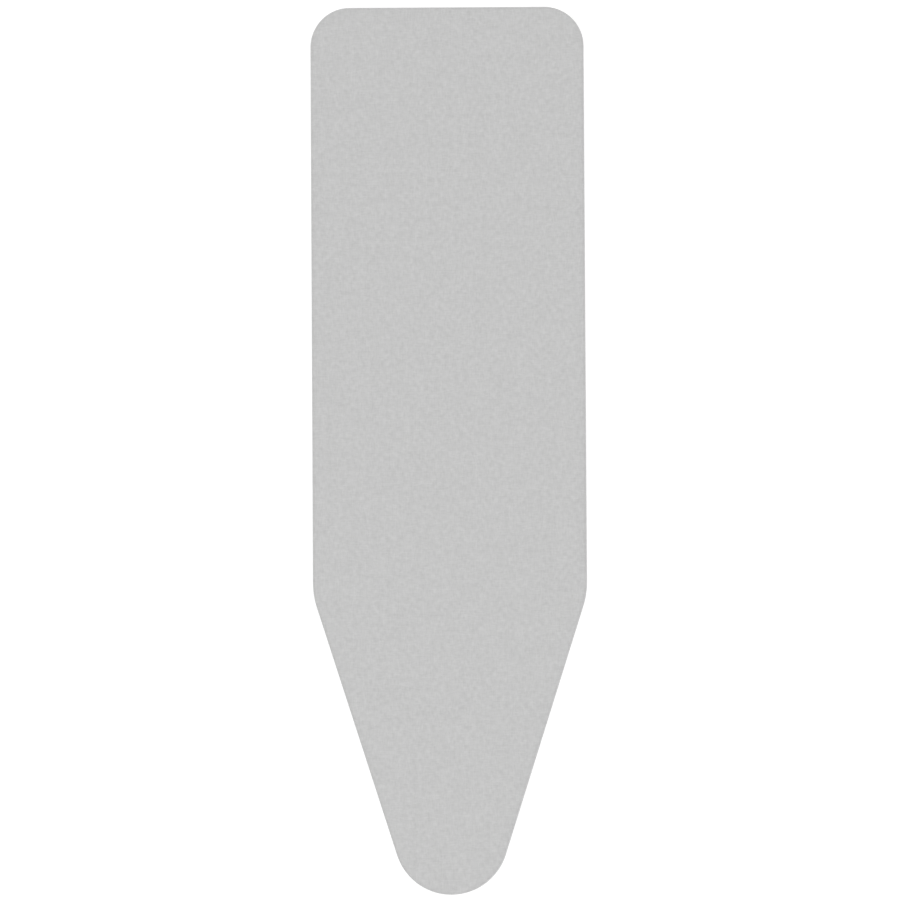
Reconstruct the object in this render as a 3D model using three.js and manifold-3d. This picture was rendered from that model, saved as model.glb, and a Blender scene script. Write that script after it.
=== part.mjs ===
// Ironing board cover with its foam pad, drawn up under the rim as if the board were in it.
// Millimetres, +Z up: the square heel lies towards +Y and the nose towards -Y, the middle is at
// x = y = 0, and z = 0 is the surface that the cover lies on.
import * as THREE from 'three';
import { mergeVertices } from 'three/addons/utils/BufferGeometryUtils.js';
import Module from 'manifold-3d';

const wasm = await Module();
wasm.setup();

// The cover's outline from above
const coverLength = 1243.4;
const heelWidth = 382.6;
const shoulderWidth = 384.1;
const shoulderFromNose = 420;
const noseRadius = 80;
const shoulderRadius = 110;
const heelCornerRadius = 55;

// The rim of the board that the cover is cut for
const boardRim = 18;

// Clearance between pieces that touch, clearance of a pin in its hole, and overrun of a cut
const fit = 0.3;
const pinFit = 0.2;
const overrun = 1;

// Top cloth: its rolled edges, the flap turned under the board and the gathers in it
const clothThickness = 0.7;
const lowerEdgeRadius = 3;
const turnUnder = 45;
const hemHeelRadius = 36;
const gatherDepth = 2.3;
const straightGatherShare = 0.12;

// Foam pad
const foamThickness = 4;
const foamEdgeRadius = 3.6;

// Hem binding: a tape folded round the hem's edge into a casing with two lips
const casingRadius = 3;
const tapeThickness = 0.6;
const lipLength = 4;
const clothInCasing = 0.6;
const casingGap = 26;

// Drawcord: one length round the hem, whose two ends come out at the heel
const cordRadius = 1.5;
const cordPull = 0.35;
const cordSpacing = 5.2;
const cordInStopper = 8;

// Cord lock: a barrel across the two cords, with a sprung plunger in it
const lockRadius = 4.7;
const lockWall = 1;
const lockEndWall = 1.6;
const lockFrontWall = 3.5;
const lockTravel = 35;
const plungerTravel = 4;
const plungerWall = 2;
const plungerHeadRadius = 4.3;
const plungerHead = 2;
const springSpace = 7;
const springRadius = 2.4;
const springWireRadius = 0.3;
const springTurns = 4;

// Cord end stopper, a bell that holds both cord ends
const stopperLength = 14;
const stopperRadius = 4.9;
const stopperWidthShare = 1.15;
const stopperHeightShare = 0.9;

// Tension straps: elastic webbing across the underside, looped round a bar at each end
const rearStrapFromHeel = 290;
const frontStrapFromNose = 520;
const webbingWidth = 25;
const webbingThickness = 1.2;
const loopNeck = 7;
const strapTail = 28;

// Clips: a sheet metal frame on the strap, and a hinged lever that closes over the casing
const sheetMetal = 1.2;
const cheekRadius = 2.8;
const barRadius = 1.5;
const barBehindCasing = 20;
const pinBehindCasing = 7;
const pinRadius = 1.2;
const pinHeadRadius = 2;
const pinHead = 0.8;
const baseBack = 14;
const baseFront = 9;
const jawReach = 4.2;
const jawWidth = 1.4;
const jawFit = 0.35;
const leverPlate = 1.4;
const leverCorner = 0.6;
const leverReach = 12;
const knuckleRadius = 2.4;
const leverUnderCasing = 0.6;
const frameOverCasing = 0.5;
const cheekFit = 0.5;

// Levels, from the lever's underside up to the ironing face
const hemLevel = leverPlate + leverUnderCasing + casingRadius;
const frameUnderside = hemLevel + casingRadius + frameOverCasing;
const frameTop = frameUnderside + sheetMetal;
const boardUnderside = frameTop + fit;
const boardTop = boardUnderside + boardRim;
const foamTop = boardTop + foamThickness;
const coverTop = foamTop + fit + clothThickness;
const flapInside = boardUnderside - fit;
const flapOutside = flapInside - clothThickness;

// The outline's straight edges, by the angle that each faces and a point that it goes through
const halfLength = coverLength / 2;
const halfShoulder = shoulderWidth / 2;
const shoulderY = shoulderFromNose - halfLength;
const shoulderAhead = shoulderFromNose - noseRadius;
const sideLean = Math.atan2((shoulderWidth - heelWidth) / 2, halfLength - shoulderY);
const noseTaper = Math.atan2(halfShoulder, shoulderAhead)
  - Math.asin(noseRadius / Math.hypot(halfShoulder, shoulderAhead));
const quarterTurn = Math.PI / 2;
const halfTurn = Math.PI;
const fullTurn = Math.PI * 2;
const edges = [
  { faces: quarterTurn, through: new THREE.Vector2(0, halfLength) },
  { faces: halfTurn - sideLean, through: new THREE.Vector2(-halfShoulder, shoulderY) },
  { faces: halfTurn + noseTaper, through: new THREE.Vector2(-halfShoulder, shoulderY) },
  { faces: fullTurn - noseTaper, through: new THREE.Vector2(halfShoulder, shoulderY) },
  { faces: fullTurn + sideLean, through: new THREE.Vector2(halfShoulder, shoulderY) },
  { faces: fullTurn + quarterTurn, through: new THREE.Vector2(0, halfLength) },
];
const corners = ['heel', 'shoulder', 'nose', 'shoulder', 'heel'];
const runs = ['heelEdge', 'side', 'taper', 'taper', 'side'];

// How finely each stretch of the cloth and of the tape is divided
const clothSteps = { heel: 12, shoulder: 2, nose: 20, heelEdge: 3, side: 5, taper: 3 };
const tapeSteps = { heel: 8, shoulder: 2, nose: 14, heelEdge: 0, side: 0, taper: 0 };

// Corner radii of the cover's edge, and of the hem's line under it
const edgeRadii = { heel: heelCornerRadius, shoulder: shoulderRadius, nose: noseRadius };
const hemRadii = {
  heel: hemHeelRadius,
  shoulder: shoulderRadius - turnUnder,
  nose: noseRadius - turnUnder,
};

function direction(angle) {
  return new THREE.Vector2(Math.cos(angle), Math.sin(angle));
}

// Centre of the arc that touches two edges, both moved in by the inset
function arcCentre(first, second, inset, radius) {
  const a = direction(first.faces);
  const b = direction(second.faces);
  const p = a.dot(first.through) - inset - radius;
  const q = b.dot(second.through) - inset - radius;
  const cross = a.cross(b);
  return new THREE.Vector2((p * b.y - q * a.y) / cross, (q * a.x - p * b.x) / cross);
}

// Points inside a straight run, without its two ends
function straightPoints(from, to, count) {
  return Array.from({ length: count }, (_, index) => ({
    place: from.place.clone().lerp(to.place, (index + 1) / (count + 1)),
    normal: from.normal,
    gather: straightGatherShare,
  }));
}

// Points round an outline, anticlockwise from the middle of the heel, which is left out
function outline(inset, radii, steps) {
  const middle = { place: new THREE.Vector2(0, halfLength - inset), normal: direction(quarterTurn) };
  const points = [];
  let from = middle;
  corners.forEach((corner, index) => {
    const radius = radii[corner];
    const centre = arcCentre(edges[index], edges[index + 1], inset, radius);
    const arcPoint = (share) => {
      const normal = direction(
        THREE.MathUtils.lerp(edges[index].faces, edges[index + 1].faces, share),
      );
      return {
        place: centre.clone().addScaledVector(normal, radius),
        normal,
        gather: corner === 'shoulder' ? straightGatherShare : 1,
      };
    };
    points.push(...straightPoints(from, arcPoint(0), steps[runs[index]]));
    for (let step = 0; step <= steps[corner]; step += 1) points.push(arcPoint(step / steps[corner]));
    from = arcPoint(1);
  });
  points.push(...straightPoints(from, middle, steps.heelEdge));
  return points;
}

// A point on the heel's line, a given way across from its middle
function heelPoint(inset, x) {
  return {
    place: new THREE.Vector2(x, halfLength - inset),
    normal: direction(quarterTurn),
    gather: straightGatherShare,
  };
}

function grown(radii, amount) {
  return Object.fromEntries(Object.entries(radii).map(([corner, radius]) => [corner, radius + amount]));
}

function clothOutline(inset, radii) {
  return [heelPoint(inset, 0), ...outline(inset, radii, clothSteps)];
}

// Closed surface through rings of points, with a cap of the given outline on its two ends. Past
// the ring where a sheet turns back on itself, each square is split along its other diagonal, so
// that the sheet's two faces run parallel.
function loft(rings, capOutline, turnsBackAt = rings.length) {
  const count = capOutline.length;
  const faces = THREE.ShapeUtils.triangulateShape(capOutline, []);
  const last = (rings.length - 1) * count;
  const index = [];
  faces.forEach(([a, b, c]) => index.push(a, b, c, last + a, last + c, last + b));
  for (let ring = 0; ring < rings.length - 1; ring += 1) {
    for (let point = 0; point < count; point += 1) {
      const a = ring * count + point;
      const b = ring * count + (point + 1) % count;
      if (ring < turnsBackAt) index.push(a, a + count, b + count, a, b + count, b);
      else index.push(a, a + count, b, b, a + count, b + count);
    }
  }
  const geometry = new THREE.BufferGeometry().setFromPoints(rings.flat());
  geometry.setIndex(index);
  const flat = geometry.toNonIndexed();
  flat.computeVertexNormals();
  return flat;
}

// Closed tube along a route, round in section, kept upright by the given axis
function tube(route, radius, sides, upright) {
  const section = Array.from({ length: sides }, (_, side) => direction((side / sides) * fullTurn));
  const rings = route.map((point, index) => {
    const before = route[Math.max(index - 1, 0)];
    const after = route[Math.min(index + 1, route.length - 1)];
    const along = after.clone().sub(before).normalize();
    const across = along.clone().cross(upright).normalize();
    const lift = across.clone().cross(along);
    return section.map((corner) => point.clone()
      .addScaledVector(across, corner.x * radius)
      .addScaledVector(lift, corner.y * radius));
  });
  return loft(rings, section);
}

// A profile drawn in x and z, made as wide as given along y
function extrudeAcross(shape, width, curveSegments) {
  const geometry = new THREE.ExtrudeGeometry(shape, { depth: width, bevelEnabled: false, curveSegments });
  geometry.rotateX(quarterTurn);
  geometry.translate(0, width / 2, 0);
  return geometry;
}

// A box between two corners
function block(low, high) {
  const size = high.map((value, axis) => value - low[axis]);
  const middle = high.map((value, axis) => (value + low[axis]) / 2);
  return new THREE.BoxGeometry(...size).translate(...middle);
}

// A round rod between two places on x or y, whose middle line passes through the other two
function rodAlongX(radius, from, to, y, z, sides) {
  const rod = new THREE.CylinderGeometry(radius, radius, to - from, sides);
  return rod.rotateZ(quarterTurn).translate((from + to) / 2, y, z);
}

function rodAlongY(radius, from, to, x, z, sides) {
  const rod = new THREE.CylinderGeometry(radius, radius, to - from, sides);
  return rod.translate(x, (from + to) / 2, z);
}

// Solids for joining and cutting, and back to a geometry
function solid(geometry) {
  const bare = geometry.clone();
  bare.deleteAttribute('normal');
  bare.deleteAttribute('uv');
  const merged = mergeVertices(bare);
  return new wasm.Manifold(new wasm.Mesh({
    numProp: 3,
    vertProperties: merged.attributes.position.array,
    triVerts: new Uint32Array(merged.index.array),
  }));
}

function joined(geometries) {
  return geometries.map(solid).reduce((whole, piece) => whole.add(piece));
}

function geometryOf(shape) {
  const { vertProperties, triVerts } = shape.getMesh();
  const indexed = new THREE.BufferGeometry();
  indexed.setAttribute('position', new THREE.BufferAttribute(vertProperties, 3));
  indexed.setIndex(new THREE.BufferAttribute(triVerts, 1));
  const flat = indexed.toNonIndexed();
  flat.computeVertexNormals();
  return flat;
}

// Finishes
const silverCotton = new THREE.MeshStandardMaterial({ color: 0xc5c5c5, roughness: 0.55, metalness: 0.3 });
const paleFoam = new THREE.MeshStandardMaterial({ color: 0xe6e3da, roughness: 0.95, metalness: 0 });
const greyTape = new THREE.MeshStandardMaterial({ color: 0xb4b5b6, roughness: 0.85, metalness: 0 });
const whiteCord = new THREE.MeshStandardMaterial({ color: 0xdcdcda, roughness: 0.8, metalness: 0 });
const greyPlastic = new THREE.MeshStandardMaterial({ color: 0x8a8d90, roughness: 0.45, metalness: 0 });
const whiteElastic = new THREE.MeshStandardMaterial({ color: 0xe2e2df, roughness: 0.85, metalness: 0 });
const springSteel = new THREE.MeshStandardMaterial({ color: 0xa9abad, roughness: 0.3, metalness: 1 });
const nickelSteel = new THREE.MeshStandardMaterial({ color: 0xc6c4bf, roughness: 0.28, metalness: 1 });

function named(name, geometry, material) {
  const mesh = new THREE.Mesh(geometry, material);
  mesh.name = name;
  return mesh;
}

const cover = new THREE.Group();
const up = new THREE.Vector3(0, 0, 1);

// Top cloth, one piece: ironing face, rolled edge, side, and the gathered flap under the board.
// Its thickness lies between an outer and an inner face that meet at the hem.
const edge = clothOutline(0, edgeRadii);
const topRollRadius = foamEdgeRadius + fit + clothThickness;

function edgeRing(inset, z) {
  return edge.map(({ place, normal }) => new THREE.Vector3(
    place.x - normal.x * inset,
    place.y - normal.y * inset,
    z,
  ));
}

function rollRing(centreInset, centreZ, radius, angle) {
  return edgeRing(centreInset - radius * Math.cos(angle), centreZ + radius * Math.sin(angle));
}

function topRoll(radius) {
  return [quarterTurn, quarterTurn / 2, 0].map(
    (angle) => rollRing(topRollRadius, coverTop - topRollRadius, radius, angle),
  );
}

function lowerRoll(radius) {
  return [0, -quarterTurn].map(
    (angle) => rollRing(lowerEdgeRadius, flapOutside + lowerEdgeRadius, radius, angle),
  );
}

// The flap's rows after its rolled edge: the gathers' depth, the way into the binding and the hem
const lipReach = casingRadius + lipLength;
const clothReach = casingRadius - tapeThickness + clothInCasing;
const lipLine = clothOutline(turnUnder - lipReach, grown(hemRadii, lipReach));
const hemLine = clothOutline(turnUnder - clothReach, grown(hemRadii, clothReach));

function flapRows(face) {
  const faceOffset = (clothThickness / 2) * face;
  const flapLevel = (flapOutside + flapInside) / 2;
  const gathers = edge.map((column, index) => {
    const start = column.place.clone().addScaledVector(column.normal, -lowerEdgeRadius);
    const place = start.lerp(lipLine[index].place, 1 / 2);
    const swing = gatherDepth * column.gather * (index % 2 === 0 ? 1 : -1);
    return new THREE.Vector3(place.x, place.y, (flapLevel + hemLevel) / 2 + swing + faceOffset);
  });
  const level = (line) => line.map(
    ({ place }) => new THREE.Vector3(place.x, place.y, hemLevel + faceOffset),
  );
  return [gathers, level(lipLine), level(hemLine)];
}

const innerRollRadius = topRollRadius - clothThickness;
const innerLowerRadius = lowerEdgeRadius - clothThickness;
const outerFace = [...topRoll(topRollRadius), ...lowerRoll(lowerEdgeRadius), ...flapRows(-1)];
const innerFace = [...topRoll(innerRollRadius), ...lowerRoll(innerLowerRadius), ...flapRows(1)];
cover.add(named('cover_cloth', loft(
  [...outerFace, ...innerFace.reverse()],
  edge.map(({ place }) => place),
  outerFace.length,
), silverCotton));

// Foam pad, cut to the board's outline and rounded along its top edge
const foamInset = clothThickness + fit;
const foamRolled = [quarterTurn, quarterTurn / 2, 0].map((angle) => rollRing(
  topRollRadius,
  foamTop - foamEdgeRadius,
  foamEdgeRadius,
  angle,
));
cover.add(named('foam_pad', loft(
  [...foamRolled, edgeRing(foamInset, boardTop)],
  edge.map(({ place }) => place),
), paleFoam));

// Hem binding, swept round the hem with its two ends apart at the heel
const arcSteps = 8;

function bindingSection() {
  const lipInside = clothThickness / 2 + fit;
  const lipOutside = lipInside + tapeThickness;
  const casingInside = casingRadius - tapeThickness;
  const arc = (radius, level) => {
    const mouth = Math.asin(level / radius);
    return Array.from({ length: arcSteps + 1 }, (_, step) => direction(
      mouth + (fullTurn - 2 * mouth) * (step / arcSteps),
    ).multiplyScalar(radius));
  };
  return [
    new THREE.Vector2(lipReach, lipOutside),
    ...arc(casingRadius, lipOutside),
    new THREE.Vector2(lipReach, -lipOutside),
    new THREE.Vector2(lipReach, -lipInside),
    ...arc(casingInside, lipInside).reverse(),
    new THREE.Vector2(lipReach, lipInside),
  ];
}

const bindingOutline = bindingSection();
const bindingRoute = [
  heelPoint(turnUnder, -casingGap / 2),
  ...outline(turnUnder, hemRadii, tapeSteps),
  heelPoint(turnUnder, casingGap / 2),
];
cover.add(named('hem_binding', loft(
  bindingRoute.map(({ place, normal }) => bindingOutline.map((corner) => new THREE.Vector3(
    place.x + normal.x * corner.x,
    place.y + normal.y * corner.x,
    hemLevel + corner.y,
  ))),
  bindingOutline,
), greyTape));

// Drawcord: through the whole casing, out at both of its ends, and side by side through the lock
// into the stopper. It is drawn against the inner side of the casing.
const cordInset = turnUnder + cordPull;
const cordLine = halfLength - cordInset;
const cordBend = (casingGap - cordSpacing) / 2;
const lockY = cordLine - cordBend - lockRadius - fit;
const stopperMouth = lockY - lockTravel - lockRadius - fit;
const cordEnd = stopperMouth - cordInStopper;
const bendSteps = 6;

function cordBendPoints(side, fromAngle) {
  return Array.from({ length: bendSteps + 1 }, (_, step) => {
    const turn = direction(fromAngle + quarterTurn * (step / bendSteps)).multiplyScalar(cordBend);
    return new THREE.Vector3(
      (side * casingGap) / 2 + turn.x,
      cordLine - cordBend + turn.y,
      hemLevel,
    );
  });
}

const cordRoute = [
  new THREE.Vector3(-cordSpacing / 2, cordEnd, hemLevel),
  ...cordBendPoints(-1, 0),
  ...outline(cordInset, grown(hemRadii, -cordPull), tapeSteps).map(
    ({ place }) => new THREE.Vector3(place.x, place.y, hemLevel),
  ),
  ...cordBendPoints(1, quarterTurn),
  new THREE.Vector3(cordSpacing / 2, cordEnd, hemLevel),
];
const cordSides = 8;
cover.add(named('drawcord', tube(cordRoute, cordRadius, cordSides, up), whiteCord));

// Cord lock barrel, closed at one end, bored from the other and slotted for the two cords
const roundSides = 24;
const slotReach = cordSpacing / 2 + cordRadius + fit;
const slotHeight = cordRadius + fit;
const boreRadius = lockRadius - lockWall;
const plungerRadius = boreRadius - fit;
const plungerBack = -slotReach - plungerWall;
const boreBack = plungerBack - springSpace;
const lockBack = boreBack - lockEndWall;
const lockFront = slotReach + lockFrontWall;

const lockBarrel = solid(rodAlongX(lockRadius, lockBack, lockFront, lockY, hemLevel, roundSides))
  .subtract(solid(rodAlongX(boreRadius, boreBack, lockFront + overrun, lockY, hemLevel, roundSides)))
  .subtract(solid(block(
    [-slotReach, lockY - lockRadius - overrun, hemLevel - slotHeight],
    [slotReach, lockY + lockRadius + overrun, hemLevel + slotHeight],
  )));
cover.add(named('cord_lock_barrel', geometryOf(lockBarrel), greyPlastic));

// Plunger: its slot is longer than the barrel's by its travel, and its head stops at the barrel
const headBack = lockFront + plungerTravel + fit;
const plunger = joined([
  rodAlongX(plungerRadius, plungerBack, headBack + plungerHead / 2, lockY, hemLevel, roundSides),
  rodAlongX(plungerHeadRadius, headBack, headBack + plungerHead, lockY, hemLevel, roundSides),
]).subtract(solid(block(
  [-slotReach, lockY - plungerRadius - overrun, hemLevel - slotHeight],
  [slotReach + plungerTravel, lockY + plungerRadius + overrun, hemLevel + slotHeight],
)));
cover.add(named('cord_lock_plunger', geometryOf(plunger), greyPlastic));

// Spring between the barrel's closed end and the plunger
const springStepsPerTurn = 10;
const springSides = 6;
const springEnd = springWireRadius + fit / 2;
const springLength = springSpace - 2 * springEnd;
const springRoute = Array.from({ length: springTurns * springStepsPerTurn + 1 }, (_, step) => {
  const share = step / (springTurns * springStepsPerTurn);
  const turn = direction(share * springTurns * fullTurn).multiplyScalar(springRadius);
  return new THREE.Vector3(
    boreBack + springEnd + springLength * share,
    lockY + turn.x,
    hemLevel + turn.y,
  );
});
cover.add(named(
  'cord_lock_spring',
  tube(springRoute, springWireRadius, springSides, new THREE.Vector3(1, 0, 0)),
  springSteel,
));

// Stopper: a flattened bell with a blind bore for each cord end
const stopperProfileShares = [
  [0, -1],
  [0.5, -1],
  [0.78, -0.9],
  [0.95, -0.5],
  [1, -0.1],
  [0.94, 0],
  [0, 0],
];
const stopperBell = new THREE.LatheGeometry(stopperProfileShares.map(
  ([radiusShare, lengthShare]) => new THREE.Vector2(
    radiusShare * stopperRadius,
    lengthShare * stopperLength,
  ),
), roundSides);
stopperBell.scale(stopperWidthShare, 1, stopperHeightShare).translate(0, stopperMouth, hemLevel);
const stopper = [-1, 1].reduce((bell, side) => bell.subtract(solid(rodAlongY(
  cordRadius + fit,
  cordEnd - fit,
  stopperMouth + overrun,
  (side * cordSpacing) / 2,
  hemLevel,
  roundSides,
))), solid(stopperBell));
cover.add(named('cord_stopper', geometryOf(stopper), greyPlastic));

// Tension strap: webbing folded round the bar at each end and sewn back on itself
const loopRadius = barRadius + fit + webbingThickness / 2;
const layerOffset = (webbingThickness + fit) / 2;
const loopSteps = 12;

function halfWidthAt(y) {
  return halfShoulder - (y - shoulderY) * Math.tan(sideLean);
}

function strapLoop(barX) {
  const neckAngle = Math.atan2(layerOffset, -loopNeck)
    - Math.acos(loopRadius / Math.hypot(loopNeck, layerOffset));
  const round = Array.from({ length: loopSteps + 1 }, (_, step) => direction(
    THREE.MathUtils.lerp(-neckAngle, neckAngle, step / loopSteps),
  ).multiplyScalar(loopRadius));
  return [
    new THREE.Vector2(-loopNeck - strapTail, -layerOffset),
    new THREE.Vector2(-loopNeck, -layerOffset),
    ...round,
    new THREE.Vector2(-loopNeck, layerOffset),
  ].map((point) => new THREE.Vector2(barX + point.x, hemLevel + point.y));
}

function ribbon(line, thickness) {
  const offset = (side) => line.map((point, index) => {
    const before = line[Math.max(index - 1, 0)];
    const after = line[Math.min(index + 1, line.length - 1)];
    const along = after.clone().sub(before).normalize();
    return new THREE.Vector2(
      point.x - along.y * side * (thickness / 2),
      point.y + along.x * side * (thickness / 2),
    );
  });
  return new THREE.Shape([...offset(-1), ...offset(1).reverse()]);
}

function tensionStrap(name, y) {
  const right = strapLoop(halfWidthAt(y) - turnUnder - barBehindCasing);
  const left = right.map((point) => new THREE.Vector2(-point.x, point.y)).reverse();
  const strap = named(
    name,
    extrudeAcross(ribbon([...right, ...left], webbingThickness), webbingWidth),
    whiteElastic,
  );
  strap.position.y = y;
  return strap;
}

// Clip frame: a plate over the casing, a cheek on each side, the strap's bar and the upper jaw
const cheekInside = webbingWidth / 2 + cheekFit;
const cheekOutside = cheekInside + sheetMetal;
const jawOutside = jawReach + jawWidth;
const barSides = 16;
const cheekArcSteps = 6;
const leverArcSteps = 8;

function clipFrame() {
  const cheek = new THREE.Shape();
  cheek.absarc(-barBehindCasing, hemLevel, cheekRadius, halfTurn, halfTurn + quarterTurn);
  cheek.absarc(-pinBehindCasing, hemLevel, cheekRadius, halfTurn + quarterTurn, fullTurn);
  cheek.lineTo(cheekRadius - pinBehindCasing, frameTop);
  cheek.absarc(-barBehindCasing, frameTop - cheekRadius, cheekRadius, quarterTurn, halfTurn);
  const cheeks = solid(extrudeAcross(cheek, 2 * cheekOutside, cheekArcSteps)).subtract(solid(block(
    [-barBehindCasing - cheekRadius - overrun, -cheekInside, -overrun],
    [cheekRadius - pinBehindCasing + overrun, cheekInside, frameTop + overrun],
  )));
  return cheeks
    .add(solid(block([-baseBack, -cheekOutside, frameUnderside], [baseFront, cheekOutside, frameTop])))
    .add(solid(rodAlongY(barRadius, -cheekOutside, cheekOutside, -barBehindCasing, hemLevel, barSides)))
    .add(solid(block(
      [jawReach, -cheekInside, hemLevel + clothThickness / 2 + fit + tapeThickness + jawFit],
      [jawOutside, cheekInside, frameTop],
    )))
    .subtract(solid(rodAlongY(
      pinRadius + pinFit,
      -cheekOutside - overrun,
      cheekOutside + overrun,
      -pinBehindCasing,
      hemLevel,
      barSides,
    )));
}

// Clip lever: a knuckle on the pin, a web down from it and a plate under the casing with a jaw
const leverWidth = 2 * (cheekInside - fit);

function clipLever() {
  const webInside = -pinBehindCasing - knuckleRadius + leverPlate;
  const knuckleStart = halfTurn + Math.acos((-pinBehindCasing - webInside) / knuckleRadius);
  const jawTop = hemLevel - clothThickness / 2 - fit - tapeThickness - jawFit;
  const profile = new THREE.Shape();
  profile.absarc(
    leverCorner - pinBehindCasing - knuckleRadius,
    leverCorner,
    leverCorner,
    halfTurn,
    halfTurn + quarterTurn,
  );
  profile.absarc(leverReach - leverPlate / 2, leverPlate / 2, leverPlate / 2, -quarterTurn, quarterTurn);
  profile.lineTo(jawOutside, leverPlate);
  profile.lineTo(jawOutside, jawTop);
  profile.lineTo(jawReach, jawTop);
  profile.lineTo(jawReach, leverPlate);
  profile.lineTo(webInside, leverPlate);
  profile.absarc(-pinBehindCasing, hemLevel, knuckleRadius, knuckleStart, fullTurn + halfTurn);
  return solid(extrudeAcross(profile, leverWidth, leverArcSteps)).subtract(solid(rodAlongY(
    pinRadius + pinFit,
    -leverWidth / 2 - overrun,
    leverWidth / 2 + overrun,
    -pinBehindCasing,
    hemLevel,
    barSides,
  )));
}

// Clip pin, riveted over at both ends
function clipPin() {
  const headInside = cheekOutside + pinFit;
  const headOutside = headInside + pinHead;
  const half = [
    [pinRadius, headInside],
    [pinHeadRadius, headInside],
    [pinHeadRadius, headOutside],
    [0, headOutside],
  ];
  const mirrored = half.map(([radius, along]) => [radius, -along]).reverse();
  const pin = new THREE.LatheGeometry(
    [...mirrored, ...half].map(([radius, along]) => new THREE.Vector2(radius, along)),
    barSides,
  );
  return pin.translate(-pinBehindCasing, 0, hemLevel);
}

const frameGeometry = geometryOf(clipFrame());
const leverGeometry = geometryOf(clipLever());
const pinGeometry = clipPin();

function clip(name, y, side) {
  const group = new THREE.Group();
  group.add(
    named(`${name}_clip_frame`, frameGeometry, nickelSteel),
    named(`${name}_clip_lever`, leverGeometry, nickelSteel),
    named(`${name}_clip_pin`, pinGeometry, nickelSteel),
  );
  group.position.set(side * (halfWidthAt(y) - turnUnder), y, 0);
  group.rotation.z = side > 0 ? 0 : halfTurn;
  return group;
}

const straps = { rear: halfLength - rearStrapFromHeel, front: frontStrapFromNose - halfLength };
Object.entries(straps).forEach(([place, y]) => {
  cover.add(
    tensionStrap(`${place}_tension_strap`, y),
    clip(`${place}_left`, y, -1),
    clip(`${place}_right`, y, 1),
  );
});

export default cover;
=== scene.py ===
import math

import bmesh
import bpy
import numpy as np
from mathutils import Matrix, Vector
from mathutils.geometry import delaunay_2d_cdt


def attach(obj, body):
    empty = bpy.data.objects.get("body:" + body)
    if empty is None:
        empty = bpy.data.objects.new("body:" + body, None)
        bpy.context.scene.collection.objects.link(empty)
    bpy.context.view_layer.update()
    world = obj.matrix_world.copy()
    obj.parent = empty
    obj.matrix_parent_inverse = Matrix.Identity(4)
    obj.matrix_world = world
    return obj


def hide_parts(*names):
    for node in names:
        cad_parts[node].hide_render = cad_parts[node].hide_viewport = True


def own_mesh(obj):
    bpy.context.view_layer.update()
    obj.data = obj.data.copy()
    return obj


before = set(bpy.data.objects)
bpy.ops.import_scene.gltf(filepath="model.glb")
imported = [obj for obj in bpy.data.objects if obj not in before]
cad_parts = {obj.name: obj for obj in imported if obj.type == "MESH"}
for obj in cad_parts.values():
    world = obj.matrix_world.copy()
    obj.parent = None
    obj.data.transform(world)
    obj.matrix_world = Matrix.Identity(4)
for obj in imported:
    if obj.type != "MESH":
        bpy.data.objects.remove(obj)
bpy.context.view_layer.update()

scene = bpy.context.scene


# Foam pad. A 4 mm sheet of open-cell foam, cut to the board's outline and rounded where the cover
# pulls it down over the rim. It lies loose between the board's plate and the cover.
HALF_LENGTH = 0.6217
HALF_HEEL = 0.1913
HALF_SHOULDER = 0.19205
SHOULDER_Y = -0.2017
NOSE_TAPER = math.radians(17.6386)
EDGE_RADII = {"heel": 0.055, "shoulder": 0.110, "nose": 0.080}
CORNERS = ("heel", "shoulder", "nose", "shoulder", "heel")
RUNS = ("heel_run", "side", "taper", "taper", "side", "heel_run")
FOAM_COUNTS = {"heel": 14, "shoulder": 5, "nose": 30, "heel_run": 14, "side": 70, "taper": 26}
FOAM_TOP = 0.032
FOAM_UNDERSIDE = 0.028
FOAM_ROUNDING = 0.0036
FOAM_ANGLES = np.radians([90, 67, 45, 22, 0])
FOAM_INSET = 0.001
FOAM_TUCK = 0.0004
FOAM_CELL = 0.008
FOAM_UNEVEN, FOAM_WAVE = 0.00012, 0.045


def direction(angle):
    return np.array([math.cos(angle), math.sin(angle)])


def round_points(centre, radius, angles):
    return [centre + radius * direction(a) for a in angles]


def outline(inset, radii, counts):
    """Points round the cover, anticlockwise from the heel's middle, and the way each one faces."""
    lean = math.atan2(HALF_SHOULDER - HALF_HEEL, HALF_LENGTH - SHOULDER_Y)
    heel, right, left = (0, HALF_LENGTH), (HALF_SHOULDER, SHOULDER_Y), (-HALF_SHOULDER, SHOULDER_Y)
    facing = [math.pi - lean, math.pi + NOSE_TAPER, math.tau - NOSE_TAPER, math.tau + lean]
    facing = [math.pi / 2, *facing, 2.5 * math.pi]
    edges = list(zip(facing, (heel, left, left, right, right, heel)))
    middle = np.array([0, HALF_LENGTH - inset])
    bends = []
    for corner, (first, through_a), (second, through_b) in zip(CORNERS, edges, edges[1:]):
        sides = np.array([direction(first), direction(second)])
        reach = np.einsum("ij,ij->i", sides, np.array([through_a, through_b])) - inset - radii[corner]
        centre = np.linalg.solve(sides, reach)
        turns = np.linspace(first, second, counts[corner] + 1)
        bends.append((turns, round_points(centre, radii[corner], turns)))
    places, normals = [middle], [direction(math.pi / 2)]
    for run, (turns, arc) in zip(RUNS, [*bends, ([math.pi / 2], [middle])]):
        last, steps = places[-1], counts[run]
        places += [last + (arc[0] - last) * step / (steps + 1) for step in range(1, steps + 1)]
        normals += [direction(turns[0])] * steps
        places += arc
        normals += [direction(turn) for turn in turns]
    return np.array(places[:-1]), np.array(normals[:-1])


def lifted(places, height):
    """Places in the plane as points at the height, one for all or one for each."""
    return np.column_stack([places, np.broadcast_to(height, len(places))])


def ring(places, normals, inset, height):
    """Those places moved in by the inset, at the height."""
    return lifted(places - normals * np.reshape(inset, (-1, 1)), height)


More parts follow.
